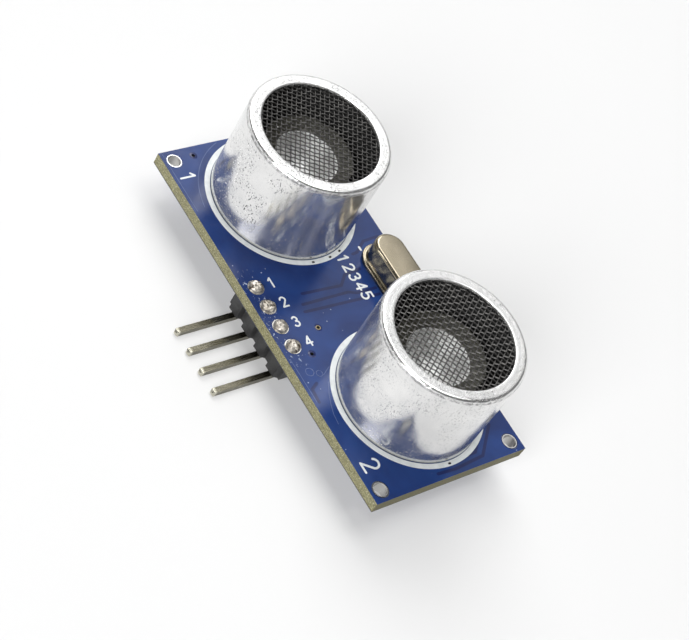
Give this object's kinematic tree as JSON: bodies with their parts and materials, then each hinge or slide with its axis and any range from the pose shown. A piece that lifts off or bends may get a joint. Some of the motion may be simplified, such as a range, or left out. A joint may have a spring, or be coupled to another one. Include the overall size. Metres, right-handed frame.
{
  "type": "ultrasonic sensor",
  "caption": "Ultrasonic distance sensor module: blue circuit board with two round aluminium transducers behind wire screens, a crystal and a bent pin header.",
  "frame": {"origin": "centre of the four mounting holes on the back face of the board", "axes": "+X from the transmitter to the receiver, +Y from the header to the crystal, +Z out of the cans"},
  "size_m": [0.045, 0.027, 0.0165],
  "materials": {
    "board_laminate": "satin khaki glass fibre laminate",
    "solder_mask": "glossy deep blue film",
    "white_print": "matt white ink",
    "tinned_copper": "dull bright tin",
    "solder": "bright rough solder",
    "header_plastic": "matt black moulding",
    "pin_metal": "tinned brass, slightly worn",
    "can_aluminium": "scuffed polished aluminium",
    "screen_wire": "black coated wire",
    "base_plastic": "matt dark moulding",
    "soft_glue": "soft grey silicone",
    "plate_metal": "satin",
    "piezo_ceramic": "silvered ceramic",
    "cone_metal": "bright spun aluminium",
    "terminal_metal": "tinned wire",
    "copper_wire": "enamelled copper",
    "crystal_metal": "satin nickel",
    "via_gold": "dull gold",
    "chip_plastic": "matt black moulding",
    "chip_lead_metal": "bright tin",
    "resistor_black": "glazed black",
    "capacitor_tan": "tan ceramic"
  },
  "bodies": {
    "root": {"circuit_board": "board_laminate", "front_solder_mask": "solder_mask", "back_solder_mask": "solder_mask", "board_print": "white_print", "mounting_hole_plating": "tinned_copper", "header_hole_plating": "tinned_copper", "terminal_hole_plating": "tinned_copper", "crystal_hole_plating": "tinned_copper", "via_plating": "via_gold", "surface_pads": "tinned_copper", "header_housing": "header_plastic", "header_pin_1": "pin_metal", "header_pin_2": "pin_metal", "header_pin_3": "pin_metal", "header_pin_4": "pin_metal", "header_solder": "solder", "crystal_can": "crystal_metal", "crystal_leads": "terminal_metal", "crystal_solder": "solder", "controller_chip": "chip_plastic", "controller_chip_leads": "chip_lead_metal", "driver_chip": "chip_plastic", "driver_chip_leads": "chip_lead_metal", "amplifier_chip": "chip_plastic", "amplifier_chip_leads": "chip_lead_metal", "transistor_body": "chip_plastic", "transistor_leads": "chip_lead_metal", "resistor_bodies": "resistor_black", "resistor_end_caps": "chip_lead_metal", "capacitor_bodies": "capacitor_tan", "capacitor_end_caps": "chip_lead_metal", "transmitter_can": "can_aluminium", "transmitter_screen": "screen_wire", "transmitter_base": "base_plastic", "transmitter_glue_ring": "soft_glue", "transmitter_metal_plate": "plate_metal", "transmitter_piezo_disc": "piezo_ceramic", "transmitter_cone": "cone_metal", "transmitter_terminals": "terminal_metal", "transmitter_lead_wires": "copper_wire", "transmitter_solder": "solder", "receiver_can": "can_aluminium", "receiver_screen": "screen_wire", "receiver_base": "base_plastic", "receiver_glue_ring": "soft_glue", "receiver_metal_plate": "plate_metal", "receiver_piezo_disc": "piezo_ceramic", "receiver_cone": "cone_metal", "receiver_terminals": "terminal_metal", "receiver_lead_wires": "copper_wire", "receiver_solder": "solder"}
  },
  "joints": []
}
